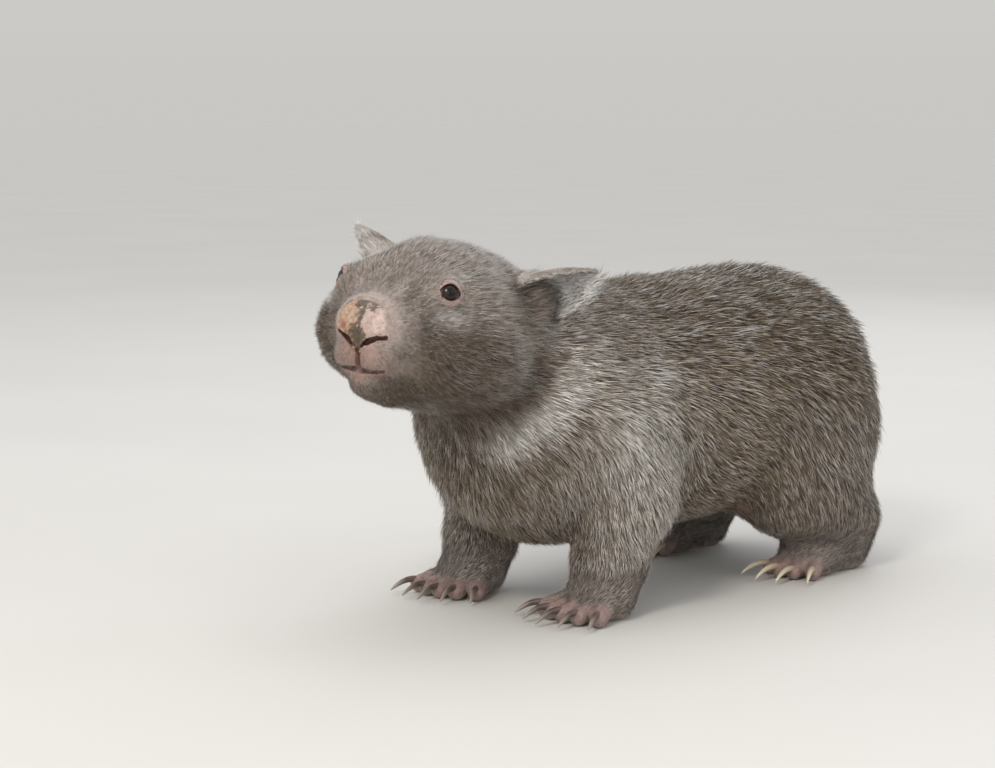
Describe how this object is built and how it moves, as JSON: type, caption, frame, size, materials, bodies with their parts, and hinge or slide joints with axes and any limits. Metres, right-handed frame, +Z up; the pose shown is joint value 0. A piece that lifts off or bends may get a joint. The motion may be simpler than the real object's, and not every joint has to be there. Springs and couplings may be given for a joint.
{
  "type": "young common wombat",
  "caption": "Young wombat standing on all fours: barrel body in short grizzled fur, broad raised head, bare shield-shaped nose, small pointed ears, long digging claws and a stub tail.",
  "frame": {"origin": "on the floor, under the middle of the animal's box", "axes": "+Z up, -Y the way the body faces, +X to the animal's left; the head is turned 14 degrees to the left and held 15 degrees nose up"},
  "size_m": [0.2066, 0.4952, 0.2461],
  "materials": {
    "coat": "short grizzled grey-brown fur with pale tips",
    "ear": "short silver-grey fur with whitish hair inside",
    "nose_pad": "bare pebbled skin, mottled pink and dark, slightly moist",
    "paw": "thinly haired pinkish grey-brown skin",
    "tail_skin": "bare wrinkled skin",
    "fore_claw": "dark horn, paler at the tips",
    "hind_claw": "ivory-yellow horn",
    "eye": "wet and glossy, dark brown"
  },
  "bodies": {
    "root": {"torso": "coat", "neck": "coat", "tail": "tail_skin", "head": "coat", "nose": "nose_pad", "ear_left": "ear", "eye_left": "eye", "foreleg_left": "coat", "hindleg_left": "coat", "forefoot_left": "paw", "hindfoot_left": "paw", "claw_fore_left_1": "fore_claw", "claw_fore_left_2": "fore_claw", "claw_fore_left_3": "fore_claw", "claw_fore_left_4": "fore_claw", "claw_fore_left_5": "fore_claw", "claw_hind_left_1": "hind_claw", "claw_hind_left_2": "hind_claw", "claw_hind_left_3": "hind_claw", "claw_hind_left_4": "hind_claw", "ear_right": "ear", "eye_right": "eye", "foreleg_right": "coat", "hindleg_right": "coat", "forefoot_right": "paw", "hindfoot_right": "paw", "claw_fore_right_1": "fore_claw", "claw_fore_right_2": "fore_claw", "claw_fore_right_3": "fore_claw", "claw_fore_right_4": "fore_claw", "claw_fore_right_5": "fore_claw", "claw_hind_right_1": "hind_claw", "claw_hind_right_2": "hind_claw", "claw_hind_right_3": "hind_claw", "claw_hind_right_4": "hind_claw"}
  },
  "joints": []
}
